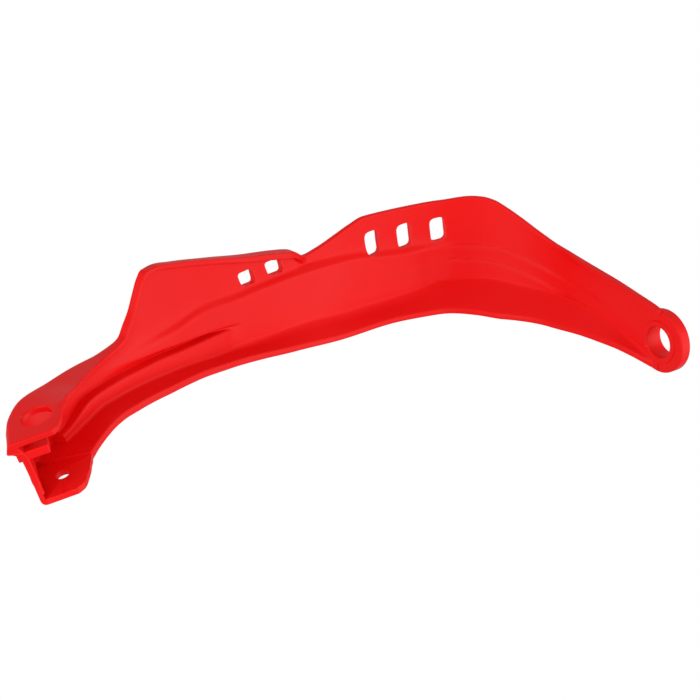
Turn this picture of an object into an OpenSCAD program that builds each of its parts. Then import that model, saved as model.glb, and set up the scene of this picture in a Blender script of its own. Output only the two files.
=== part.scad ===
// Wrap-around hand guard for a motorcycle handlebar, one moulded piece.
// X runs from the clamp bore to the bar-end bore, Y points forward, Z is up.
// The origin is the centre of the clamp bore, on the top face of the clamp tab.

/* [Path of the wall, seen from above] */
// Straight length of the wall beside the clamp tab
lead_l = 15.5; // [14:0.5:18]
// Radius of the wall where it turns away from the clamp
bend_r = 30; // [24:1:34]
// Direction of the wall beside the clamp tab, in degrees from X
lead_angle = 69; // [65:1:73]
// Direction of the long straight stretch of the wall
straight_angle = 28; // [25:1:31]
// Length of the long straight stretch of the wall
straight_l = 128; // [120:1:136]
// Radius of the slow curve in front of the fingers
sweep_r = 294; // [270:2:320]
// Radius of the corner in front of the bar end
corner_r = 60; // [54:1:66]
// How far the end arm is turned back from X, in degrees
arm_angle = 78; // [74:1:82]
// Straight length of the end arm, up to the bar-end bore
arm_l = 66; // [60:1:72]

/* [Clamp end] */
// Diameter of the access bore in the tab
clamp_bore_d = 14.5; // [12:0.5:14.5]
// Diameter of the screw hole in the floor below it
screw_bore_d = 6.5; // [5:0.1:8]
// Distance from the end of the tab to its bore
bore_from_end = 16; // [15:0.5:17]
// Distance from the wall to the bore
bore_from_wall = 7.5; // [7.5:0.5:8.5]
// Tilt of the tab, which rises outwards, in degrees
tab_tilt = 20; // [16:1:24]
// Thickness of the tab
tab_t = 3.3; // [3:0.1:4]
// Depth of the round hollow in the end of the wall
end_hollow = 2.3; // [1.5:0.1:3]
// Depth of the pocket round the screw hole
pocket_deep = 1.5; // [1:0.1:2]

/* [Bar end] */
// Diameter of the bar-end bore
bar_bore_d = 16; // [14:0.5:18]
// Radius of the rounded end of the arm
bar_end_r = 16; // [15:0.5:18]
// Length of the bar-end bore
bar_boss_l = 10; // [8:0.5:11]
// Height of the bar-end bore below the clamp tab
bar_drop = 30.5; // [28:0.5:33]

/* [Wall and slots] */
// Thickness of the moulded wall
wall = 3; // [2.6:0.1:3.2]
// How far the body stands out from the fin
body_step = 4; // [3:0.5:5]
// Distance between neighbouring vent slots
slot_pitch = 19.3; // [18:0.1:21]
// Width of a vent slot
slot_w = 8; // [6:0.5:9]
// Height of a tall vent slot
slot_h = 13; // [11:0.5:14]
// Depth of the two long grooves in the corner
groove_deep = 1.2; // [0.8:0.1:1.5]

/* [Hidden] */
$fn = 72;
eps = 0.01;

// Lengths along the wall where its stretches end
run = [lead_l, bend_r * (lead_angle - straight_angle) * PI / 180, straight_l,
       sweep_r * straight_angle * PI / 180, corner_r * arm_angle * PI / 180, arm_l];
stop = [for (i = 0, n = run[0]; i < 6; i = i + 1, n = n + (i < 6 ? run[i] : 0)) n];
end_s = stop[5];

// Places along the wall are given on its normal length, and stretch with the path
stretch = end_s / 456.3;
last = end_s / stretch;

// Points and directions in plan
function ahead(h) = [cos(h), sin(h)];
function inward(h) = [sin(h), -cos(h)];
function round_turn(p, h, r, a) = p + r * (inward(h) - inward(h - a));
start = -bore_from_end * ahead(lead_angle) - bore_from_wall * inward(lead_angle);
p1 = start + run[0] * ahead(lead_angle);
p2 = round_turn(p1, lead_angle, bend_r, lead_angle - straight_angle);
p3 = p2 + run[2] * ahead(straight_angle);
p4 = round_turn(p3, straight_angle, sweep_r, straight_angle);
p5 = round_turn(p4, 0, corner_r, arm_angle);
function deg(l, r) = l / r * 180 / PI;
function plan(s) =
    s < stop[0] ? start + s * ahead(lead_angle) :
    s < stop[1] ? round_turn(p1, lead_angle, bend_r, deg(s - stop[0], bend_r)) :
    s < stop[2] ? p2 + (s - stop[1]) * ahead(straight_angle) :
    s < stop[3] ? round_turn(p3, straight_angle, sweep_r, deg(s - stop[2], sweep_r)) :
    s < stop[4] ? round_turn(p4, 0, corner_r, deg(s - stop[3], corner_r)) :
    p5 + (s - stop[4]) * ahead(-arm_angle);

// Smooth curve through a table of [place, value], with no overshoot
function rise(t, k) = (t[k + 1][1] - t[k][1]) / (t[k + 1][0] - t[k][0]);
function slope(t, k) = k <= 0 || k >= len(t) - 1 || rise(t, k - 1) * rise(t, k) <= 0 ? 0 :
    2 * rise(t, k - 1) * rise(t, k) / (rise(t, k - 1) + rise(t, k));
function blend(a, b, ma, mb, u) = a * (1 + 2 * u) * pow(1 - u, 2) + ma * u * pow(1 - u, 2)
    + b * u * u * (3 - 2 * u) - mb * u * u * (1 - u);
function piece(t, k, x) = let (w = t[k + 1][0] - t[k][0])
    blend(t[k][1], t[k + 1][1], slope(t, k) * w, slope(t, k + 1) * w, (x - t[k][0]) / w);
function along(t, x) = x <= t[0][0] ? t[0][1] : x >= t[len(t) - 1][0] ? t[len(t) - 1][1] :
    piece(t, len([for (p = t) if (p[0] <= x) 1]) - 1, x);
function ease(u) = u <= 0 ? 0 : u >= 1 ? 1 : u * u * (3 - 2 * u);

// Direction of the cross-section, which turns more gently than the tight bend
ruling_turn = [[0, lead_angle], [12, lead_angle - 1], [40, 46], [70, straight_angle]];
function facing(s) = let (l = s * stretch)
    s < 70 ? along(ruling_turn, s) :
    l < stop[2] ? straight_angle :
    l < stop[3] ? straight_angle - deg(l - stop[2], sweep_r) :
    l < stop[4] ? -deg(l - stop[3], corner_r) : -arm_angle;

// Tilt and height of the clamp tab's plane, carried on along the wall
tilt_fade = [[20, 1], [35, 0.7], [55, 0.4], [80, 0.2], [120, 0]];
lift_table = [[20, 0], [35, 1.2], [50, 2.9], [65, 4], [90, 2], [120, 0]];
function tilt(s) = tab_tilt * along(tilt_fade, s);
function lift(s) = let (u = ease((s - 20) / 30), drop = ease((s - 380) / 70))
    plan(s * stretch)[0] * tan(tab_tilt) * (1 - u) + along(lift_table, s) * u
    + (30.5 - bar_drop) * drop;

// A point d inside the wall and z above the tab's plane, at length s
function at(s, d, z) = let (p = plan(s * stretch), n = inward(facing(s)), t = tilt(s))
    [p[0] + d * n[0] - z * sin(t), p[1] + d * n[1], lift(s) + d * n[0] * tan(t) + z * cos(t)];

// Outline of the guard: top edge, lip, floor and free edge of the floor
top_z = [[0, 0], [60, 0], [80, 1], [90, 2.5], [96, 3.8], [101, 6], [104.5, 11], [109, 17.5],
         [113, 26], [115.5, 31], [119, 34.3], [125, 34.5], [140, 31.5], [170, 23.8], [194, 17.8],
         [216, 13.5], [227, 11], [237, 5.5], [246, 7], [258, 11], [266, 14.2], [275, 17], [282, 17.3],
         [320, 17.5], [335, 18.5], [341, 18], [347, 16.3], [353, 12.8], [361, 8], [371, 2.2],
         [382, -2.2], [395, -4.5], [411, -6.7], [425, -8.5], [440, -10.8], [449, -12.4], [457, -14]];
lip_d = [[0, 14], [2, 16], [11, 18], [22, 18.8], [36, 16.5], [54, 11.5], [69, 7.3], [86, 3],
         [98, 1.8], [113, 1.5], [125, 2], [165, 2.3], [200, 3.8], [222, 4.5], [230, 3.5], [238, 0],
         [385, 0], [405, 1.5], [440, 1.5], [457, 0.8]];
lip_t = [[60, tab_t], [98, 3], [104, 4.2], [113, 4.2], [119, 2.8], [125, 2.6], [200, 3.2],
         [222, 3.6], [238, 2.5]];
plain = [[225, 0], [238, 2], [385, 2], [405, 0]];
floor_z = [[30, -31.5], [42, -30.5], [50, -28.5], [60, -25.5], [80, -20.5], [110, -18.5],
           [138, -20.5], [172, -25.5], [206, -28.5], [236, -29], [261, -30.5], [281, -30], [302, -28],
           [321, -25.5], [343, -26], [365, -28], [400, -28.5], [427, -33], [440, -37], [457, -41]];
floor_d = [[0, 0], [12, -2], [24, -5], [40, -5], [60, -3], [90, 0]];
wall_d = [[0, 0], [12, -0.5], [22, -2.5], [28, -2.5], [50, -0.5], [70, 0]];
skirt = [[0, 5], [8, 4], [20, 2.5], [80, 2], [94, 2], [99, 0]];
edge_d = [[0, 14], [3, 17], [8, 18.5], [16, 20], [28, 20.3], [40, 19.5], [52, 18.5], [70, 18],
          [110, 17.5], [140, 16],
          [190, 15], [250, 15], [285, 16], [312, 17], [341, 17], [357, 16], [390, 12], [412, 9],
          [430, 6.5], [441, 4.5], [457, 0.5]];
edge_z = [[24, -31.5], [34, -31], [46, -28.3], [60, -25.3], [82, -20.5], [110, -18.5], [138, -20.5],
          [165, -24.5], [190, -28.5], [217, -32.5], [252, -35.5], [285, -34], [312, -34.5],
          [341, -37], [357, -38.5], [390, -38], [412, -37], [430, -37.5], [441, -39], [457, -43]];
edge_t = [[28, 4.5], [45, 4], [110, 3.9], [200, 3.5], [250, 3], [457, 3]];

// Form of the wall: valley under the fin, ridge of the body, recess over the rail
valley_z = [[0, -9], [60, -8.5], [100, -3.5], [120, 2], [140, 2], [160, 4], [190, 1.5], [215, 1],
            [262, 1], [292, -2], [317, -3], [345, -4], [400, -14], [457, -22]];
ridge_z = [[0, -13], [60, -12], [85, -7], [100, -5.5], [118, -3], [137, -1.5], [155, 0.5], [190, -2], [231, -2],
           [262, -2.5], [292, -6], [317, -7], [345, -10], [400, -17], [457, -26]];
body_in = [[80, 0], [100, 0.2], [120, 0.7], [140, 1], [298, 1], [314, 0.6], [328, 0.1], [340, 0]];
body_out = [[180, 0], [210, 0.8], [300, 0.8], [325, 0.4], [350, 0]];
under_z = [[0, -16], [60, -14], [80, -9.5], [100, -7.5], [118, -7.3], [140, -8.9], [162, -11.4],
           [186, -14.2], [210, -18], [345, -18], [400, -20], [457, -29]];
recess_z = [[0, -19], [46, -19], [60, -17], [80, -12], [100, -10.3], [118, -9.9], [140, -11.3],
            [162, -12.9], [186, -14.8], [210, -21], [345, -21], [400, -24], [457, -33]];
recess_fill = [[160, 0], [190, 1]];
corner_round = [[0, 1.5], [60, 2], [180, 3], [230, 6], [300, 10], [400, 8], [450, 3]];

// Rail along the foot of the wall, from a square front end to where it meets the body
rail_z = [[46, -25.5], [52, -23.5], [58, -20.5], [66, -16.5], [80, -13.5], [101, -11.2],
          [118, -10.7], [140, -12.3], [162, -13.8], [186, -15.4]];
rail_d = [[46, 2.3], [56, 4], [66, 5], [150, 5], [186, body_step]];
function rail_here(s) = s < 46 ? 0 : 1 - ease((s - 174) / 14);

// Corner vertices of the cross-section, as [d, z, rounding, points in the rounding]
function foot_in(s) = along(floor_d, s) + body_step * along(body_in, s) * ease((s - 150) / 35);
function mix(a, b, u) = a + (b - a) * u;
function inner_line(s) = let (b = body_step * along(body_in, s), top = along(top_z, s),
        lt = along(lip_t, s), w = along(wall_d, s), m = w + b * along(recess_fill, s),
        low = along(recess_z, s), q = rail_here(s), rz = along(rail_z, s), rd = along(rail_d, s))
    [[along(lip_d, s), top - lt, 0, 0], [w, top - lt - along(plain, s), 1.2, 1],
     [w, along(valley_z, s), 9, 4], [w + b, along(ridge_z, s), 1.5, 2],
     [w + b, along(under_z, s), 0.8, 1], [m, low, 0.8, 1],
     mix([m, low - 1.5, 0, 0], [m, rz + 0.4, 0, 0], q),
     mix([m, low - 3.5, 0, 2], [rd, rz, 1, 2], q),
     [mix(foot_in(s), rd + 0.6, q), along(floor_z, s), mix(along(corner_round, s), 1.5, q), 3],
     [along(edge_d, s), along(edge_z, s), 0, 0]];
function outer_line(s) = let (b = body_step * along(body_out, s), top = along(top_z, s),
        w = along(wall_d, s) - wall, e = along(edge_t, s), k = along(skirt, s))
    [[along(edge_d, s), along(edge_z, s) - e, 0, 0],
     [foot_in(s) - wall, along(floor_z, s) - e, along(corner_round, s) + 1.5, 3],
     [w + b, along(ridge_z, s) - 1, 3, 1], [w, along(valley_z, s), 9, 4],
     [w, top - 6.5, 0, 0], [w - k, top - 5.5, 0.8, 1], [w, top, 1, 1], [along(lip_d, s), top, 0, 0]];

// The same vertices with their corners rounded into short curves
function cut_len(a, b, r) = min(r, 0.45 * norm(b - a));
function xy(v) = [v[0], v[1]];
function bow(a, m, b, n) = [for (k = [0:n]) let (u = k / n)
    pow(1 - u, 2) * a + 2 * u * (1 - u) * m + u * u * b];
function rounded(v) = [for (i = [0:len(v) - 1]) each v[i][3] == 0 ? [xy(v[i])] :
    let (a = xy(v[i - 1]), m = xy(v[i]), b = xy(v[i + 1]), r = v[i][2] + 0.1)
    bow(m + (a - m) / norm(a - m) * cut_len(a, m, r),
        m, m + (b - m) / norm(b - m) * cut_len(m, b, r), v[i][3])];

// A closed solid through rings of points. The first h points of a ring lie on one side of the
// wall and the others run back along its other side, so each end closes like a ladder.
module skin(rings, h) {
    m = len(rings[0]);
    n = len(rings);
    sides = [for (i = [0:n - 2], j = [0:m - 1]) let (k = (j + 1) % m)
        each [[i * m + j, (i + 1) * m + k, i * m + k], [i * m + j, (i + 1) * m + j, (i + 1) * m + k]]];
    function back(k) = m - 1 - round(k * (m - h - 1) / (h - 1));
    cap = [for (k = [0:h - 2]) let (a = back(k), b = back(k + 1))
        each a == b ? [[k, k + 1, a]] : [[k, k + 1, a], [k + 1, b, a]]];
    far = [for (f = cap) [for (j = [2:-1:0]) f[j] + (n - 1) * m]];
    polyhedron([for (r = rings) each r], concat(sides, cap, far), convexity = 10);
}

// Lengths where the cross-section is taken, closer together where the outline turns
stations = [0, 2, each [6:6:36], 41, 45.7, 46, 50, each [56:6:68], each [75:7:96], 99, 101,
            each [103:2:119], 123, 128, each [136:8:184], each [190:8:222], each [227:4:243],
            each [249:6:285], each [293:9:329], each [334:4:382], each [390:10:440], 448, last];
module shell() {
    skin([for (s = stations) [for (q = rounded(inner_line(s))) at(s, q[0], q[1]),
                              for (q = rounded(outer_line(s))) at(s, q[0], q[1])]],
         len(rounded(inner_line(0))));
}

// Places a shape in the frame of the clamp tab, or on the wall at length s
module on_tab() rotate([0, -tab_tilt, 0]) children();
module on_wall(s, z) translate(at(s, 0, z)) rotate([90, 0, facing(s)]) children();
module bar_end() translate([each plan(end_s), -bar_drop])
    rotate([0, 90, -arm_angle - 90]) rotate([0, 0, 90]) children();

// Short rib under the tab, beside the end of the wall
module tab_rib() {
    on_tab() translate([start[0] / cos(tab_tilt), start[1], -12]) rotate([0, 0, lead_angle - 90])
        translate([-2, 2.5, 0]) cube([12, 9, 4.5]);
}

// Pocket round the screw hole, and the round hollow in the end of the wall
module floor_pocket() on_tab() translate([start[0] / cos(tab_tilt), start[1], -31.5 - pocket_deep])
    rotate([0, 0, lead_angle - 90]) linear_extrude(height = pocket_deep + 1)
        polygon([[0, -3], [30, -3], [30, 24], [-4, 30], [-3, 14]]);
module end_cut() let (r = 153 / end_hollow + end_hollow / 2)
    on_tab() translate([start[0] / cos(tab_tilt), start[1], -18]) rotate([0, 0, lead_angle - 90])
        translate([-12, end_hollow - r, 0]) rotate([0, 90, 0]) cylinder(h = 48, r = r, $fn = 180);

// Round plate and boss of the bar end
module bar_plate() {
    bar_end() translate([0, 0, -6]) cylinder(h = 6, r = bar_end_r);
    bar_end() translate([0, 0, 0.8 - bar_boss_l]) cylinder(h = bar_boss_l, r = bar_bore_d / 2 + 3);
}

// Vent slot, a leaning four-sided opening with round corners
module slot(corners, r) {
    n = len(corners);
    linear_extrude(height = 24, center = true) polygon([for (i = [0:n - 1])
        let (a = corners[(i + n - 1) % n], m = corners[i], b = corners[(i + 1) % n],
            pa = m + r * (a - m) / norm(a - m), pb = m + r * (b - m) / norm(b - m))
        for (u = [0:0.25:1]) pow(1 - u, 2) * pa + 2 * u * (1 - u) * m + u * u * pb]);
}
tall_slot = [[-slot_w / 2 - 0.7, slot_h / 2 - 0.7], [slot_w / 2 - 0.7, slot_h / 2 + 0.3],
             [slot_w / 2 + 0.7, 0.7 - slot_h / 2], [0.7 - slot_w / 2, -slot_h / 2 - 0.3]];
low_slot = [[-6, 4.5], [5, 4.5], [7.5, -3.5], [-2.5, -3.5]];

// Long groove with a sharp upper edge that fades out below
groove_a = [[326, -6.3], [347, -7.7], [360, -10.7], [373, -14], [388, -17], [406, -19], [420, -20.5]];
groove_b = [[324, -13.8], [341, -15.2], [354, -17.4], [367, -20.8], [381, -24.7], [398, -27.3],
            [414, -28.3]];
module groove(t) {
    s0 = t[0][0];
    s1 = t[len(t) - 1][0];
    skin([for (s = [s0:(s1 - s0) / 16:s1 + eps]) let (z = along(t, s), b = body_step * along(body_in, s),
        g = groove_deep * ease((s - s0) / 12 + 0.05) * ease((s1 - s) / 25 + 0.05))
        [at(s, b + 1.5, z - 6), at(s, b - g, z - 0.4), at(s, b + 1.5, z)]], 2);
}

// The whole guard
module guard_shell() color("red") difference() {
    union() {
        shell();
        tab_rib();
        bar_plate();
    }
    on_tab() translate([0, 0, -tab_t - 0.8]) cylinder(h = tab_t + 3, d = clamp_bore_d);
    on_tab() translate([0, 0, -38]) cylinder(h = 9, d = screw_bore_d);
    bar_end() translate([0, 0, -bar_boss_l - 1]) cylinder(h = bar_boss_l + 4, d = bar_bore_d);
    for (i = [0:2]) on_wall(279 + i * slot_pitch, 2.6) slot(tall_slot, 3);
    for (i = [0:1]) on_wall(195.5 + i * slot_pitch, 5) slot(low_slot, 2.5);
    groove(groove_a);
    groove(groove_b);
    floor_pocket();
    end_cut();
}

guard_shell();
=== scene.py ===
from math import radians, sin, cos, tan, pi, sqrt
import bpy
import bmesh
from mathutils import Vector, Matrix


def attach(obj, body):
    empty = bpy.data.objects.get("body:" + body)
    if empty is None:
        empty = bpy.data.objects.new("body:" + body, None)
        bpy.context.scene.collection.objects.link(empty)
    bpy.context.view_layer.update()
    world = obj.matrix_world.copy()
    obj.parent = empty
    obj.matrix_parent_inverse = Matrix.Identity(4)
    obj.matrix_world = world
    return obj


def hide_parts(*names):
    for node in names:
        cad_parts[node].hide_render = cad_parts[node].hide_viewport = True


# Moulded hand guard for a motorcycle handlebar: one red shell, its camera and light.
# Lengths inside the piece's functions are in millimetres, because the part's source is.
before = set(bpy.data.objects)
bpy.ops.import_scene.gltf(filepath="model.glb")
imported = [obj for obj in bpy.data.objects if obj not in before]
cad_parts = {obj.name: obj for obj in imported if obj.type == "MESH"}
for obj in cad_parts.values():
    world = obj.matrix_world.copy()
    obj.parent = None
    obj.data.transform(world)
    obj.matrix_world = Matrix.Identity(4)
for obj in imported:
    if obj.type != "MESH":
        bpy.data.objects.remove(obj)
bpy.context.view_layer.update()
print("frame loaded", sorted(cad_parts))

# camera, solved from the two bores and the outline of the photograph
cameraSettings = {"turn": 27.8, "height": 23.4, "lens": 154.29, "sensor": 36,
                  "near": 0.05, "far": 30, "originSeen": (-139.122, -29.349, -1330.036)}


def makeCamera(c):
    # originSeen is the origin as the camera sees it: to its right, above it and behind it
    a, e = radians(c["turn"]), radians(c["height"])
    right = Vector((cos(a), -sin(a), 0))
    up = Vector((sin(e) * sin(a), sin(e) * cos(a), cos(e)))
    back = Vector((-cos(e) * sin(a), -cos(e) * cos(a), sin(e)))
    seen = c["originSeen"]
    spot = -(right * seen[0] + up * seen[1] + back * seen[2]) / 1000
    data = bpy.data.cameras.new("photoCamera")
    data.lens, data.sensor_width, data.sensor_fit = c["lens"], c["sensor"], "HORIZONTAL"
    data.clip_start, data.clip_end = c["near"], c["far"]
    cam = bpy.data.objects.new("photoCamera", data)
    turn = Matrix((right, up, back)).transposed().to_4x4()
    cam.matrix_world = Matrix.Translation(spot) @ turn
    bpy.context.scene.collection.objects.link(cam)
    bpy.context.scene.camera = cam
    return right, up, back


viewRight, viewUp, viewBack = makeCamera(cameraSettings)
print("camera made")

# the path of the wall in plan, from the clamp end to the bar end, and the tilt of the tab
wallPath = {"lead": 15.5, "bendRadius": 30, "leadAngle": 69, "straightAngle": 28, "straight": 128,
            "sweepRadius": 294, "cornerRadius": 60, "armAngle": 78, "arm": 66,
            "boreFromEnd": 16, "boreFromWall": 7.5, "tabTilt": 20}


def pathStretches(p):
    turns = [("line", p["lead"]),
             ("arc", p["bendRadius"], p["leadAngle"], p["straightAngle"]),
             ("line", p["straight"]),
             ("arc", p["sweepRadius"], p["straightAngle"], 0),
             ("arc", p["cornerRadius"], 0, -p["armAngle"]),
             ("line", p["arm"])]
    h = radians(p["leadAngle"])
    x = -(p["boreFromEnd"] * cos(h) + p["boreFromWall"] * sin(h))
    y = -(p["boreFromEnd"] * sin(h) - p["boreFromWall"] * cos(h))
    out, at = [], 0.0
    for t in turns:
        if t[0] == "line":
            out.append((at, t[1], x, y, h, None))
            x, y, at = x + t[1] * cos(h), y + t[1] * sin(h), at + t[1]
        else:
            r, h1 = t[1], radians(t[3])
            length = r * (h - h1)
            out.append((at, length, x, y, h, r))
            x, y = x + r * (sin(h) - sin(h1)), y + r * (cos(h1) - cos(h))
            h, at = h1, at + length
    return out, at


stretches, pathEnd = pathStretches(wallPath)


def planPoint(s):
    # place and heading on the path at length s
    for at, length, x, y, h, r in stretches:
        if s <= at + length:
            break
    t = s - at
    if r is None:
        return x + t * cos(h), y + t * sin(h), h
    g = h - t / r
    return x + r * (sin(h) - sin(g)), y + r * (cos(g) - cos(h)), g


def along(table, x):
    # smooth curve through a table, with no overshoot
    if x <= table[0][0]:
        return table[0][1]
    if x >= table[-1][0]:
        return table[-1][1]
    k = 0
    while table[k + 1][0] <= x:
        k += 1

    def rise(i):
        return (table[i + 1][1] - table[i][1]) / (table[i + 1][0] - table[i][0])

    def slope(i):
        if i <= 0 or i >= len(table) - 1 or rise(i - 1) * rise(i) <= 0:
            return 0
        return 2 * rise(i - 1) * rise(i) / (rise(i - 1) + rise(i))

    w = table[k + 1][0] - table[k][0]
    u = (x - table[k][0]) / w
    a, b = table[k][1], table[k + 1][1]
    return (a * (1 + 2 * u) * (1 - u) ** 2 + slope(k) * w * u * (1 - u) ** 2
            + b * u * u * (3 - 2 * u) - slope(k + 1) * w * u * u * (1 - u))


def ease(u):
    u = min(max(u, 0), 1)
    return u * u * (3 - 2 * u)


def mix(a, b, u):
    return a + (b - a) * u


# how the cross-section turns, tilts and rises along the path
wallStance = {
    "turn": [(0, 69), (12, 68), (40, 46), (70, 28)],
    "tiltFade": [(20, 1), (35, 0.7), (55, 0.4), (80, 0.2), (120, 0)],
    "lift": [(20, 0), (35, 1.2), (50, 2.9), (65, 4), (90, 2), (120, 0)],
    "liftFrom": 20, "liftOver": 30,
}


def inwardTurn(s):
    # beside the clamp the section turns more gently than the tight bend of the path
    turn = wallStance["turn"]
    return radians(along(turn, s)) if s < turn[-1][0] else planPoint(s)[2]


def spot(s, d, z):
    # a point d inside the wall and z above the tab's plane, at length s
    x, y, _ = planPoint(s)
    g, t = inwardTurn(s), radians(wallPath["tabTilt"] * along(wallStance["tiltFade"], s))
    nx, ny = sin(g), -cos(g)
    u = ease((s - wallStance["liftFrom"]) / wallStance["liftOver"])
    lift = x * tan(radians(wallPath["tabTilt"])) * (1 - u) + along(wallStance["lift"], s) * u
    return Vector((x + d * nx - z * sin(t), y + d * ny, lift + d * nx * tan(t) + z * cos(t)))


# outline and form of the wall, as tables of length and value
# footFade and railFade are where a change starts along the wall, and how long it takes
guardForm = {
    "wall": 3, "bodyStep": 4, "tab": 3.3, "skirtLow": 5.5, "skirtRoot": 6.5,
    "railFrom": 46, "railFade": (174, 14), "footFade": (150, 35),
    "top": [(0, 0), (60, 0), (80, 1), (90, 2.5), (96, 3.8), (101, 6), (104.5, 11), (109, 17.5),
            (113, 26), (115.5, 31), (119, 34.6), (125, 34.9), (140, 31.9), (170, 24.2),
            (194, 18.1), (216, 13.8), (227, 11.2), (237, 5.6), (246, 7.3), (258, 11.4), (266, 14.5),
            (275, 17.2), (282, 17.4), (320, 17.7), (335, 18.9), (341, 18.5), (347, 16.8), (353, 13.4),
            (361, 8.5), (371, 2.7), (382, -1.7), (395, -4.0), (411, -6.2), (425, -8.1),
            (440, -10.8), (449, -12.4), (457, -14)],
    "lipReach": [(0, 14), (2, 16), (11, 18), (22, 18.8), (36, 16.5), (54, 11.5), (69, 7.3), (86, 3),
                 (98, 1.8), (113, 1.5), (125, 2), (165, 2.3), (200, 3.8), (222, 4.5), (230, 3.5),
                 (238, 0), (385, 0), (405, 1.5), (440, 1.5), (457, 0.8)],
    "lipThick": [(60, 3.3), (98, 3), (104, 4.2), (113, 4.2), (119, 2.8), (125, 2.6), (200, 3.2),
                 (222, 3.6), (238, 2.5)],
    "plainEdge": [(225, 0), (238, 2), (385, 2), (405, 0)],
    "floor": [(30, -31.5), (42, -30.5), (50, -28.5), (60, -25.5), (80, -20.5), (110, -18.5),
              (138, -20.5), (172, -25.5), (206, -28.5), (236, -29), (261, -30.5), (281, -30),
              (302, -28), (321, -25.5), (343, -26), (365, -28), (400, -28.5), (427, -33),
              (440, -37), (457, -41)],
    "floorIn": [(0, 0), (12, -2), (24, -5), (40, -5), (60, -3), (90, 0)],
    "wallIn": [(0, -0.2), (12, -0.6), (22, -2.5), (28, -2.5), (50, -0.5), (70, 0)],
    "topOut": [(0, 2.5), (12, 2.1), (22, 0.3), (30, 0)],
    "skirt": [(0, 2.4), (8, 2.2), (20, 2.4), (80, 2), (94, 2), (99, 0)],
    "edgeIn": [(0, 14), (3, 17), (8, 18.5), (16, 20), (28, 20.3), (40, 19.5), (52, 18.5), (70, 18),
               (110, 17.5), (140, 16), (190, 15), (250, 15), (285, 16), (312, 17), (341, 17),
               (357, 16), (390, 12), (412, 9), (430, 6.5), (441, 4.5), (457, 0.5)],
    "edge": [(24, -31.5), (34, -31), (46, -28.3), (60, -25.3), (82, -20.5), (110, -18.5),
             (138, -20.5), (165, -24.5), (190, -28.5), (217, -32.5), (252, -35.5), (285, -34),
             (312, -34.5), (341, -37), (357, -38.5), (390, -38), (412, -37), (430, -37.5),
             (441, -39), (457, -43)],
    "edgeThick": [(28, 4.5), (45, 4), (110, 3.9), (200, 3.5), (250, 3), (457, 3)],
    "valley": [(0, -9), (60, -8.5), (100, -3.5), (120, 2), (140, 2), (160, 4), (190, 1.5),
               (215, 1), (262, 1), (292, -2), (317, -3), (345, -4), (400, -14), (457, -22)],
    "ridge": [(0, -13), (60, -12), (85, -7), (100, -5.5), (118, -3), (137, -1.5), (155, 0.5),
              (190, -2), (231, -2), (262, -2.5), (292, -6), (317, -7), (345, -10), (400, -17),
              (457, -26)],
    "bodyIn": [(80, 0), (100, 0.2), (120, 0.7), (140, 1), (298, 1), (314, 0.6), (328, 0.1),
               (340, 0)],
    "bodyOut": [(180, 0), (210, 0.8), (300, 0.8), (325, 0.4), (350, 0)],
    "under": [(0, -16), (60, -14), (80, -9.5), (100, -7.5), (118, -7.3), (140, -8.9),
              (162, -11.4), (186, -14.2), (210, -18), (345, -18), (400, -20), (457, -29)],
    "recess": [(0, -19), (46, -19), (60, -17), (80, -12), (100, -10.3), (118, -9.9),
               (140, -11.3), (162, -12.9), (186, -14.8), (210, -21), (345, -21), (400, -24),
               (457, -33)],
    "recessFill": [(160, 0), (190, 1)],
    "cornerSoft": [(0, 1.5), (60, 2), (180, 3), (230, 6), (300, 10), (400, 8), (450, 3)],
    "rail": [(46, -25.5), (52, -23.5), (58, -20.5), (66, -16.5), (80, -13.5), (101, -11.2),
             (118, -10.7), (140, -12.3), (162, -13.8), (186, -15.4)],
    "railIn": [(46, 2.3), (56, 4), (66, 5), (150, 5), (186, 4)],
}


def corners(s):
    # the ring's corners at length s: place, softness, points round it, and points up to the next
    f = guardForm
    v = {k: along(t, s) for k, t in f.items() if isinstance(t, list)}
    b, bo = f["bodyStep"] * v["bodyIn"], f["bodyStep"] * v["bodyOut"]
    w, top, lt = v["wallIn"], v["top"], v["lipThick"]
    m = w + b * v["recessFill"]
    foot = v["floorIn"] + b * ease((s - f["footFade"][0]) / f["footFade"][1])
    # q is 1 where the rail stands and 0 where there is none
    q = 0 if s < f["railFrom"] else 1 - ease((s - f["railFade"][0]) / f["railFade"][1])
    low, rz, rd = v["recess"], v["rail"], v["railIn"]
    e, k, o = v["edgeThick"], v["skirt"], w - f["wall"]
    # beside the clamp the top of the wall lies further out
    wt = w - v["topOut"]
    ot = wt - f["wall"]
    return [
        (v["lipReach"], top - lt, 0.8, 4, 4),
        (wt, top - lt - v["plainEdge"], 1.2, 4, 8),
        (w, v["valley"], 9, 10, 2),
        (w + b, v["ridge"], 1.6, 7, 3),
        (w + b, v["under"], 0.9, 4, 2),
        (m, low, 0.9, 4, 2),
        (m, mix(low - 1.5, rz + 0.4, q), 0.5, 3, 2),
        (mix(m, rd, q), mix(low - 3.5, rz, q), 1.1, 6, 4),
        (mix(foot, rd + 0.6, q), v["floor"], mix(v["cornerSoft"] + 0.1, 1.6, q), 9, 7),
        (v["edgeIn"], v["edge"], 0.9, 4, 2),
        (v["edgeIn"], v["edge"] - e, 0.9, 4, 7),
        (foot - f["wall"], v["floor"] - e, v["cornerSoft"] + 1.6, 9, 5),
        (o + bo, v["ridge"] - 1, 3.1, 6, 2),
        (o, v["valley"], 9, 10, 6),
        (ot, top - f["skirtRoot"], 0.6, 3, 1),
        (ot - k, top - f["skirtLow"], 0.9, 4, 2),
        (ot, top, 1.2, 5, 4),
        (v["lipReach"], top, 0.8, 4, 1),
    ]


tiny = 1e-6  # keeps a length of zero out of a division
mostOfSide = 0.45  # the share of a side that a rounded corner may take


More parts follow.
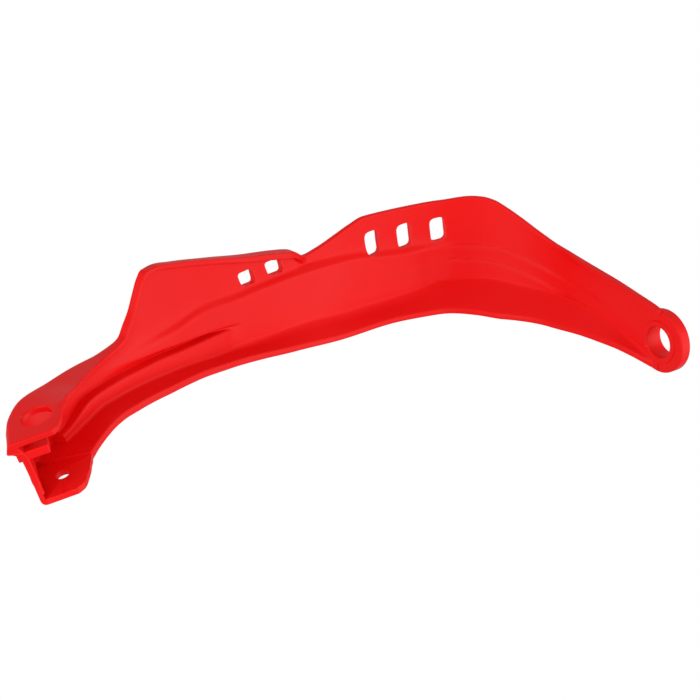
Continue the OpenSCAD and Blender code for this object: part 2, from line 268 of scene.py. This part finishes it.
def ring(s):
    # the closed outline of the section, with every corner rounded
    c = corners(s)
    n = len(c)
    points = []
    for i in range(n):
        a, m, b = Vector(c[i - 1][:2]), Vector(c[i][:2]), Vector(c[(i + 1) % n][:2])
        soft = c[i][2]
        la, lb = max((a - m).length, tiny), max((b - m).length, tiny)
        p = m + (a - m) / la * min(soft, mostOfSide * la)
        q = m + (b - m) / lb * min(soft, mostOfSide * lb)
        for k in range(c[i][3] + 1):
            u = k / c[i][3]
            points.append((1 - u) ** 2 * p + 2 * u * (1 - u) * m + u * u * q)
        nextSoft, lb = c[(i + 1) % n][2], (b - m).length
        r = b + (m - b) / max(lb, tiny) * min(nextSoft, mostOfSide * lb)
        for k in range(1, c[i][4] + 1):
            points.append(q + (r - q) * k / (c[i][4] + 1))
    return points


def pulledIn(points, depth):
    # the same outline a little smaller, for the rounded rim at the clamp end of the wall
    n = len(points)
    out = []
    for i in range(n):
        t = points[(i + 1) % n] - points[i - 1]
        inward = Vector((-t.y, t.x)) / max(t.length, tiny)
        out.append(points[i] - inward * depth)
    return out


endHollow = {"depth": 2.3, "middle": -18, "halfHeight": 17.5, "fadeOver": 9}


def hollow(s, z):
    # the clamp end of the wall is hollowed by a wide round cut
    h = endHollow
    r = h["halfHeight"] ** 2 / 2 / h["depth"] + h["depth"] / 2
    cut = h["depth"] - (z - h["middle"]) ** 2 / (2 * r)
    return s + max(cut, 0) * max(1 - s / h["fadeOver"], 0)


# lengths where the section is taken, as (from, to, step), and the rounded rim at the clamp end,
# as (length, how far the outline is pulled in)
wallStations = {
    "spans": [(0, 45, 1.3), (45.7, 46, 0.3), (47, 98, 1.4), (99, 121, 0.7), (122.5, 225, 1.6),
              (226, 247, 0.8), (248.5, 380, 1.3), (381.5, pathEnd - 1, 1.7)],
    "rim": [(0.0, 0.75), (0.1, 0.4), (0.35, 0.15), (0.75, 0)],
    "rimRoom": 1.4,
}


def stationList(stations):
    out = []
    for a, b, step in stations["spans"]:
        n = max(int(round((b - a) / step)), 1)
        out += [a + (b - a) * i / n for i in range(n + 1)]
    return [x for x in out if x > stations["rimRoom"]] + [pathEnd]


def meshObject(name, verts, faces):
    data = bpy.data.meshes.new(name)
    data.from_pydata([Vector(v) / 1000 for v in verts], [], faces)
    data.validate()
    obj = bpy.data.objects.new(name, data)
    bpy.context.scene.collection.objects.link(obj)
    return obj


def ladder(m, h):
    # closes the end of a bent wall: rungs from its inner side, the first h points, to its outer
    far = [m - 1 - round(k * (m - h - 1) / (h - 1)) for k in range(h)]
    return [(k + 1, k, far[k]) if far[k] == far[k + 1] else (k + 1, k, far[k], far[k + 1])
            for k in range(h - 1)]


def joinRings(name, rings, closed=False, innerPoints=0):
    # a skin over rings of points, capped at its ends unless it closes on itself
    m, n = len(rings[0]), len(rings)
    faces = [(i * m + j, i * m + (j + 1) % m, (i + 1) % n * m + (j + 1) % m, (i + 1) % n * m + j)
             for i in range(n if closed else n - 1) for j in range(m)]
    if innerPoints:
        for rung in ladder(m, innerPoints):
            faces += [rung, tuple((n - 1) * m + j for j in reversed(rung))]
    elif not closed:
        faces += [tuple(range(m - 1, -1, -1)), tuple((n - 1) * m + j for j in range(m))]
    return meshObject(name, [p for r in rings for p in r], faces)


def outward(obj):
    b = bmesh.new()
    b.from_mesh(obj.data)
    bmesh.ops.recalc_face_normals(b, faces=b.faces)
    if b.calc_volume(signed=True) < 0:
        bmesh.ops.reverse_faces(b, faces=b.faces)
    b.to_mesh(obj.data)
    b.free()
    return obj


# the section's corners from the lip down to the floor come first, then the floor's free edge
innerCorners = 9


def pointsTo(c, count):
    # how many points of the outline belong to its first corners
    return sum(corner[3] + 1 + corner[4] for corner in c[:count])


def makeWall(stations):
    rings = []
    for s, depth in stations["rim"]:
        rings.append([spot(hollow(s, p.y), p.x, p.y) for p in pulledIn(ring(s), depth)])
    for s in stationList(stations):
        rings.append([spot(hollow(s, p.y), p.x, p.y) for p in ring(s)])
    c = corners(0)
    # the inner side ends at the middle point round the floor's free edge
    inner = pointsTo(c, innerCorners) + c[innerCorners][3] // 2 + 1
    return outward(joinRings("wallSkin", rings, innerPoints=inner))


guard = makeWall(wallStations)
guard.name = "guardShell"
print("wall skinned", len(guard.data.polygons), "faces")

# the round bar end: plate, raised ring, boss behind and the bore, turned from one profile
barEnd = {"drop": 30.5, "plate": 16, "plateThick": 6, "ring": 11, "ringRise": 0.8, "boss": 10,
          "bore": 8, "core": 5, "soft": 0.9, "steps": 128, "roundSteps": 5}


def turned(name, profile, place, steps):
    rings = []
    for i in range(steps):
        a = 2 * pi * i / steps
        rings.append([place @ Vector((r * cos(a), r * sin(a), h)) for r, h in profile])
    return outward(joinRings(name, rings, closed=True))


def softProfile(points, soft, n):
    # rounds the corners of a closed profile of (radius, height, softness)
    out = []
    for i in range(len(points)):
        a, m, b = (Vector(points[j % len(points)][:2]) for j in (i - 1, i, i + 1))
        r = points[i][2] * soft
        if r == 0:
            out.append(m)
            continue
        p, q = m + (a - m).normalized() * r, m + (b - m).normalized() * r
        out += [(1 - u) ** 2 * p + 2 * u * (1 - u) * m + u * u * q
                for u in (k / n for k in range(n + 1))]
    return out


def barPlace():
    x, y, h = planPoint(pathEnd)
    n = Vector((sin(h), -cos(h), 0))
    side = Vector((cos(h), sin(h), 0))
    turn = Matrix((side, n.cross(side), n)).transposed().to_4x4()
    return Matrix.Translation((x, y, -barEnd["drop"])) @ turn


def makeBarEnd(b):
    # the outline's points are (radius, height, softness), and a core is left for the drill
    back = b["ringRise"] - b["boss"]
    outline = [(b["core"], b["ringRise"], 0), (b["ring"], b["ringRise"], 0.5),
               (b["ring"], 0, 0.4), (b["plate"], 0, 1), (b["plate"], -b["plateThick"], 1),
               (b["ring"], -b["plateThick"], 0.8), (b["ring"], back, 1), (b["core"], back, 0)]
    profile = softProfile(outline, b["soft"], b["roundSteps"])
    return turned("barEndRound", profile, barPlace(), b["steps"])


# the clamp end: its pocket, rib and bores lie square to the tilted tab
tabPlace = Matrix.Rotation(radians(-wallPath["tabTilt"]), 4, "Y")
pocketForm = {"floor": -33, "deep": 2.5, "underside": -36,
              "outline": [(0, -3), (30, -3), (30, 24), (-4, 30), (-3, 14)]}
ribForm = {"height": -12, "size": (15, 9, 4.5), "middle": (2.5, 7, 2.25), "edge": 0.6,
           "edgeSteps": 4}


def wallEndPlace(height):
    # the frame of the wall's clamp end, at a height in the tab's frame
    x, y, h = planPoint(0)
    spread = cos(radians(wallPath["tabTilt"]))
    return (tabPlace @ Matrix.Translation((x / spread, y, height))
            @ Matrix.Rotation(h - pi / 2, 4, "Z"))


def makePocket(pocket):
    # flat pocket round the screw hole
    place, floor = wallEndPlace(0), pocket["floor"]
    rings = [[place @ Vector((x, y, z)) for x, y in pocket["outline"]]
             for z in (floor, floor + pocket["deep"])]
    return outward(joinRings("pocketCutter", rings))


def makeRib(r):
    # short rib under the tab, with soft edges
    bpy.ops.mesh.primitive_cube_add(size=1)
    rib = bpy.context.object
    rib.name = "tabRib"
    size = Matrix.Diagonal((*r["size"], 1))
    rib.data.transform(wallEndPlace(r["height"]) @ Matrix.Translation(r["middle"]) @ size)
    rib.data.transform(Matrix.Scale(0.001, 4))
    b = bmesh.new()
    b.from_mesh(rib.data)
    bmesh.ops.bevel(b, geom=b.edges[:], offset=r["edge"] / 1000, segments=r["edgeSteps"],
                    affect="EDGES", profile=0.5)
    b.to_mesh(rib.data)
    b.free()
    return outward(rib)


# each drill runs between its ends and breaks the surface at its two faces, with round edges
drillForm = {"flare": (0, 0.3, 0.55, 0.75, 0.9, 0.99), "wider": 1.1, "proud": 0.004,
             "clear": 0.02, "steps": 96}
bores = {
    "barBore": {"radius": barEnd["bore"], "place": barPlace(), "ends": (-14, 6),
                "faces": (barEnd["ringRise"] - barEnd["boss"], barEnd["ringRise"]), "soft": 0.6},
    "accessBore": {"radius": 7.25, "place": tabPlace, "ends": (-6, 3),
                   "faces": (-guardForm["tab"], 0), "soft": 0.6},
    "screwHole": {"radius": 3.25, "place": tabPlace, "ends": (-39, -29),
                  "faces": (pocketForm["underside"], pocketForm["floor"]), "soft": 0.4},
}


def makeDrill(name, bore):
    # a drill whose profile flares where it breaks the surface
    d, radius, soft = drillForm, bore["radius"], bore["soft"]
    (low, high), (lowFace, highFace) = bore["ends"], bore["faces"]
    flare = [(radius + soft * (1 - sqrt(1 - u * u)), u) for u in d["flare"]]
    wide = radius + soft * d["wider"]
    side = [(wide, low), (wide, lowFace - d["clear"])]
    side += [(r, lowFace + soft * (1 - u) - d["proud"]) for r, u in reversed(flare)]
    side += [(r, highFace - soft * (1 - u) + d["proud"]) for r, u in flare]
    side += [(wide, highFace + d["clear"]), (wide, high)]
    turns = [2 * pi * i / d["steps"] for i in range(d["steps"])]
    rings = [[bore["place"] @ Vector((r * cos(a), r * sin(a), h)) for a in turns] for r, h in side]
    return outward(joinRings(name, rings))


leastKept = 0.7  # a cut that leaves fewer of the faces has gone wrong


def cutOrJoin(target, tool, operation):
    mod = target.modifiers.new("join", "BOOLEAN")
    mod.object, mod.operation, mod.solver = tool, operation, "MANIFOLD"
    view = bpy.context.evaluated_depsgraph_get()
    done = bpy.data.meshes.new_from_object(target.evaluated_get(view))
    target.modifiers.clear()
    if len(done.polygons) < leastKept * len(target.data.polygons):
        raise RuntimeError("the cut with " + tool.name + " lost the wall")
    target.data = done
    bpy.data.objects.remove(tool)


cutOrJoin(guard, makeBarEnd(barEnd), "UNION")
cutOrJoin(guard, makeRib(ribForm), "UNION")
cutOrJoin(guard, makePocket(pocketForm), "DIFFERENCE")
for boreName, boreValues in bores.items():
    cutOrJoin(guard, makeDrill(boreName, boreValues), "DIFFERENCE")
print("clamp end and bar end cut", len(guard.data.polygons), "faces")

# the two long grooves that run round the corner, as tables of length and height
# the section's points are (reach, share of the depth, height over the line)
grooveSettings = {
    "deep": 1.2, "fadeIn": 12, "fadeOut": 25, "leastDeep": 0.05, "aboveFloor": 0.9, "apart": 0.02,
    "section": [(1.5, 0, -4.4), (0.4, 0, -3.6), (0, -0.45, -2.1), (0, -1, -0.8), (0, -1, -0.4),
                (0.1, -0.5, -0.12), (0.3, 0, 0.1), (1.5, 0, 0.3)],
    "upper": [(326, -6.3), (347, -7.7), (360, -10.7), (373, -14), (388, -17), (406, -19),
              (420, -20.5)],
    "lower": [(324, -13.8), (341, -15.2), (354, -17.4), (367, -20.6), (381, -23.8),
              (398, -26), (412, -27.4)],
}


def innerFace(s):
    # the inner side of the section at length s, from its lip down to the floor
    return ring(s)[:pointsTo(corners(s), innerCorners)]


def reachAt(face, z):
    # how far inside the wall its face lies at height z, looking up from the floor
    for low, high in zip(reversed(face), reversed(face[:-1])):
        if low.y <= z <= high.y:
            return low.x + (high.x - low.x) * (z - low.y) / max(high.y - low.y, tiny)
    return face[-1].x


def makeGroove(name, line, v):
    # one ring for each millimetre of the groove's length
    first, last = line[0][0], line[-1][0]
    rings, n = [], int(last - first)
    for i in range(n + 1):
        s = first + (last - first) * i / n
        face, z = innerFace(s), along(line, s)
        lowest = along(guardForm["floor"], s) + v["aboveFloor"]
        g = (v["deep"] * ease((s - first) / v["fadeIn"] + v["leastDeep"])
             * ease((last - s) / v["fadeOut"] + v["leastDeep"]))
        points = []
        for k, (reach, share, h) in enumerate(v["section"]):
            height = max(z + h, lowest + v["apart"] * k)
            points.append(spot(s, reachAt(face, height) + (reach + share * g), height))
        rings.append(points)
    return outward(joinRings(name, rings))


for grooveName in ("upper", "lower"):
    groove = makeGroove(grooveName + "Groove", grooveSettings[grooveName], grooveSettings)
    cutOrJoin(guard, groove, "DIFFERENCE")
print("grooves cut", len(guard.data.polygons), "faces")

# vent slots: one leaning cutter for each row, repeated along the wall by a node tree
slotCutter = {"reach": 12, "roundSteps": 8, "lineFrom": 170, "lineTo": 340}
ventSlots = {
    "tall": {"first": 279, "pitch": 19.3, "count": 3, "height": 2.6, "round": 3,
             "corners": [(-4.7, 5.8), (3.3, 6.8), (4.7, -5.8), (-3.3, -6.8)]},
    "low": {"first": 195.5, "pitch": 19.3, "count": 2, "height": 5, "round": 2.5,
            "corners": [(-6, 4.5), (5, 4.5), (7.5, -3.5), (-2.5, -3.5)]},
}


def makeSlotCutter(name, s):
    steps, reach = slotCutter["roundSteps"], slotCutter["reach"]
    c, r, n = s["corners"], s["round"], len(s["corners"])
    outline = []
    for i in range(n):
        a, m, b = Vector(c[i - 1]), Vector(c[i]), Vector(c[(i + 1) % n])
        p, q = m + (a - m).normalized() * r, m + (b - m).normalized() * r
        outline += [(1 - u) ** 2 * p + 2 * u * (1 - u) * m + u * u * q
                    for u in (k / steps for k in range(steps + 1))]
    rings = [[Vector((p.x, y, p.y)) for p in outline] for y in (-reach, reach)]
    return outward(joinRings(name, rings))


def makeWallLine(name, height):
    # the stretch of the path that holds the slots, one point for each millimetre
    lengths = range(slotCutter["lineFrom"], slotCutter["lineTo"] + 1)
    points = [planPoint(s)[:2] for s in lengths]
    data = bpy.data.meshes.new(name)
    data.from_pydata([(x / 1000, y / 1000, height / 1000) for x, y in points],
                     [(i, i + 1) for i in range(len(points) - 1)], [])
    line = bpy.data.objects.new(name, data)
    bpy.context.scene.collection.objects.link(line)
    return line


def slotRowTree(material):
    tree = bpy.data.node_groups.new("slotRow", "GeometryNodeTree")
    face = tree.interface
    face.new_socket("Line", in_out="INPUT", socket_type="NodeSocketGeometry")
    for label, kind in (("Slot", "NodeSocketObject"), ("First", "NodeSocketFloat"),
                        ("Pitch", "NodeSocketFloat"), ("Count", "NodeSocketInt")):
        face.new_socket(label, in_out="INPUT", socket_type=kind)
    face.new_socket("Slots", in_out="OUTPUT", socket_type="NodeSocketGeometry")
    add, link = tree.nodes.new, tree.links.new
    start, end = add("NodeGroupInput"), add("NodeGroupOutput")
    curve, row = add("GeometryNodeMeshToCurve"), add("GeometryNodeMeshLine")
    number = add("GeometryNodeInputIndex")
    reach, ahead = add("ShaderNodeMath"), add("ShaderNodeMath")
    reach.operation, ahead.operation = "MULTIPLY", "ADD"
    sample, move = add("GeometryNodeSampleCurve"), add("GeometryNodeSetPosition")
    sample.mode = "LENGTH"
    turn, slot = add("FunctionNodeAlignRotationToVector"), add("GeometryNodeObjectInfo")
    turn.axis, turn.pivot_axis = "X", "Z"
    place, real, paint = (add("GeometryNodeInstanceOnPoints"), add("GeometryNodeRealizeInstances"),
                          add("GeometryNodeSetMaterial"))
    paint.inputs["Material"].default_value = material
    link(start.outputs["Line"], curve.inputs["Mesh"])
    link(start.outputs["Count"], row.inputs["Count"])
    link(number.outputs["Index"], reach.inputs[0])
    link(start.outputs["Pitch"], reach.inputs[1])
    link(reach.outputs[0], ahead.inputs[0])
    link(start.outputs["First"], ahead.inputs[1])
    link(curve.outputs["Curve"], sample.inputs["Curves"])
    link(ahead.outputs[0], sample.inputs["Length"])
    link(row.outputs["Mesh"], move.inputs["Geometry"])
    link(sample.outputs["Position"], move.inputs["Position"])
    link(sample.outputs["Tangent"], turn.inputs["Vector"])
    link(start.outputs["Slot"], slot.inputs["Object"])
    link(move.outputs["Geometry"], place.inputs["Points"])
    link(slot.outputs["Geometry"], place.inputs["Instance"])
    link(turn.outputs["Rotation"], place.inputs["Rotation"])
    link(place.outputs["Instances"], real.inputs["Geometry"])
    link(real.outputs["Geometry"], paint.inputs["Geometry"])
    link(paint.outputs["Geometry"], end.inputs["Slots"])
    return tree


def makeSlotRow(name, settings, tree):
    line = makeWallLine(name + "Line", settings["height"])
    cutter = makeSlotCutter(name + "Cutter", settings)
    mod = line.modifiers.new("slotRow", "NODES")
    mod.node_group = tree
    first = (settings["first"] - slotCutter["lineFrom"]) / 1000
    values = {"Slot": cutter, "First": first, "Pitch": settings["pitch"] / 1000,
              "Count": settings["count"]}
    for item in tree.interface.items_tree:
        if item.in_out == "INPUT" and item.name in values:
            mod[item.identifier] = values[item.name]
    view = bpy.context.evaluated_depsgraph_get()
    made = bpy.data.meshes.new_from_object(line.evaluated_get(view))
    row = bpy.data.objects.new(name + "Row", made)
    bpy.context.scene.collection.objects.link(row)
    bpy.data.objects.remove(line)
    bpy.data.objects.remove(cutter)
    return outward(row)


redPlastic = bpy.data.materials.new("redPlastic")
slotTree = slotRowTree(redPlastic)
for rowName, rowSettings in ventSlots.items():
    cutOrJoin(guard, makeSlotRow(rowName + "Slots", rowSettings, slotTree), "DIFFERENCE")
print("vent slots cut", len(guard.data.polygons), "faces")

# moulded plastic: faint grain, soft flow marks in the gloss and a painted highlight, a lighter red,
# along the sharp convex edges
plasticLook = {
    "red": (0.79, 0.004, 0.004), "edgeHighlight": (0.86, 0.02, 0.018), "highlightFrom": 0.53, "highlightTo": 0.62,
    "roughness": 0.42, "smoother": 0.03, "rougher": 0.05, "ior": 1.49, "gloss": 0.16,
    "grainSize": 900, "grainDetail": 3, "grainHeight": 0.00002, "grainStrength": 0.25,
    "flowSize": 22, "flowDetail": 2, "flowFrom": 0.35, "flowTo": 0.65,
}


def mouldedGrain(look):
    group = bpy.data.node_groups.new("mouldedGrain", "ShaderNodeTree")
    face = group.interface
    for label in ("Grain Size", "Flow Size"):
        face.new_socket(label, in_out="INPUT", socket_type="NodeSocketFloat")
    face.new_socket("Grain", in_out="OUTPUT", socket_type="NodeSocketFloat")
    face.new_socket("Flow", in_out="OUTPUT", socket_type="NodeSocketFloat")
    add, link = group.nodes.new, group.links.new
    start, end = add("NodeGroupInput"), add("NodeGroupOutput")
    where, fine, wide, sharp = (add("ShaderNodeTexCoord"), add("ShaderNodeTexNoise"),
                                add("ShaderNodeTexNoise"), add("ShaderNodeMapRange"))
    fine.inputs["Detail"].default_value = look["grainDetail"]
    wide.inputs["Detail"].default_value = look["flowDetail"]
    sharp.inputs["From Min"].default_value = look["flowFrom"]
    sharp.inputs["From Max"].default_value = look["flowTo"]
    link(where.outputs["Object"], fine.inputs["Vector"])
    link(where.outputs["Object"], wide.inputs["Vector"])
    link(start.outputs["Grain Size"], fine.inputs["Scale"])
    link(start.outputs["Flow Size"], wide.inputs["Scale"])
    link(wide.outputs["Fac"], sharp.inputs["Value"])
    link(fine.outputs["Fac"], end.inputs["Grain"])
    link(sharp.outputs["Result"], end.inputs["Flow"])
    return group


def paintPlastic(mat, look):
    mat.use_nodes = True
    tree = mat.node_tree
    add, link = tree.nodes.new, tree.links.new
    shader = tree.nodes["Principled BSDF"]
    grain = add("ShaderNodeGroup")
    grain.node_tree = mouldedGrain(look)
    grain.inputs["Grain Size"].default_value = look["grainSize"]
    grain.inputs["Flow Size"].default_value = look["flowSize"]
    edge, edgeHighlightMask, colour, rough, bump = (
        add("ShaderNodeNewGeometry"), add("ShaderNodeMapRange"), add("ShaderNodeMix"),
        add("ShaderNodeMapRange"), add("ShaderNodeBump"))
    edgeHighlightMask.inputs["From Min"].default_value = look["highlightFrom"]
    edgeHighlightMask.inputs["From Max"].default_value = look["highlightTo"]
    colour.data_type = "RGBA"
    colour.inputs["A"].default_value = (*look["red"], 1)
    colour.inputs["B"].default_value = (*look["edgeHighlight"], 1)
    rough.inputs["To Min"].default_value = look["roughness"] - look["smoother"]
    rough.inputs["To Max"].default_value = look["roughness"] + look["rougher"]
    bump.inputs["Strength"].default_value = look["grainStrength"]
    bump.inputs["Distance"].default_value = look["grainHeight"]
    # painted highlight: the sharper a convex edge is, by its pointiness, the lighter its red is
    # painted
    link(edge.outputs["Pointiness"], edgeHighlightMask.inputs["Value"])
    link(edgeHighlightMask.outputs["Result"], colour.inputs["Factor"])
    link(colour.outputs["Result"], shader.inputs["Base Color"])
    link(grain.outputs["Flow"], rough.inputs["Value"])
    link(rough.outputs["Result"], shader.inputs["Roughness"])
    link(grain.outputs["Grain"], bump.inputs["Height"])
    link(bump.outputs["Normal"], shader.inputs["Normal"])
    shader.inputs["IOR"].default_value = look["ior"]
    shader.inputs["Specular IOR Level"].default_value = look["gloss"]


paintPlastic(redPlastic, plasticLook)


# distances in metres, and the angle in degrees from which an edge stays sharp
shellFinish = {"mergeWithin": 2e-6, "thinnest": 1e-6, "sharpFrom": 32}


def finishShell(obj, material, finish):
    # merges the seams of the cuts, and takes out pairs of faces that lie back to back
    b = bmesh.new()
    b.from_mesh(obj.data)
    bmesh.ops.remove_doubles(b, verts=b.verts, dist=finish["mergeWithin"])
    bmesh.ops.dissolve_degenerate(b, dist=finish["thinnest"], edges=b.edges)
    bmesh.ops.triangulate(b, faces=b.faces)
    sameCorners = {}
    for face in b.faces:
        sameCorners.setdefault(frozenset(face.verts), []).append(face)
    doubled = [face for pair in sameCorners.values() if len(pair) > 1 for face in pair]
    bmesh.ops.delete(b, geom=doubled, context="FACES")
    loose = [v for v in b.verts if not v.link_faces]
    bmesh.ops.delete(b, geom=loose, context="VERTS")
    b.to_mesh(obj.data)
    b.free()
    obj.data.materials.clear()
    obj.data.materials.append(material)
    obj.data.shade_smooth()
    obj.data.set_sharp_from_angle(angle=radians(finish["sharpFrom"]))


finishShell(guard, redPlastic, shellFinish)
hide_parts("guard_shell")
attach(guard, "root")
print("shell finished", len(guard.data.vertices), "points")

# soft studio light on plain white: two wide lamps, placed from what they light in metres
lampAim = (0.16, 0.04, -0.01)
lampSettings = {
    "key": {"across": -0.9, "up": -0.2, "back": 1.6, "size": 3.0, "power": 34},
    "fill": {"across": 1.9, "up": -0.2, "back": 0.5, "size": 2.5, "power": 29},
}


def makeLamp(name, s):
    data = bpy.data.lights.new(name, "AREA")
    data.shape, data.size, data.energy = "DISK", s["size"], s["power"]
    lamp = bpy.data.objects.new(name, data)
    middle = Vector(lampAim)
    place = middle + viewRight * s["across"] + viewUp * s["up"] + viewBack * s["back"]
    aim = (place - middle).to_track_quat("Z", "Y")
    lamp.matrix_world = Matrix.Translation(place) @ aim.to_matrix().to_4x4()
    bpy.context.scene.collection.objects.link(lamp)


for lampName, lampValues in lampSettings.items():
    makeLamp(lampName, lampValues)


worldLight = {"onGuard": 0.5, "toCamera": 1}


def makeWorld(strength):
    # plain white light, in one strength for the guard and another for what the camera sees
    world = bpy.data.worlds.new("studioWorld")
    bpy.context.scene.world = world
    world.use_nodes = True
    tree = world.node_tree
    add, link = tree.nodes.new, tree.links.new
    soft = tree.nodes["Background"]
    soft.inputs["Color"].default_value = (1, 1, 1, 1)
    soft.inputs["Strength"].default_value = strength["onGuard"]
    white, seen = add("ShaderNodeBackground"), add("ShaderNodeLightPath")
    both = add("ShaderNodeMixShader")
    white.inputs["Color"].default_value = (1, 1, 1, 1)
    white.inputs["Strength"].default_value = strength["toCamera"]
    link(seen.outputs["Is Camera Ray"], both.inputs["Fac"])
    link(soft.outputs["Background"], both.inputs[1])
    link(white.outputs["Background"], both.inputs[2])
    link(both.outputs["Shader"], tree.nodes["World Output"].inputs["Surface"])


makeWorld(worldLight)
bpy.context.scene.view_settings.view_transform = "Standard"
print("studio lit")
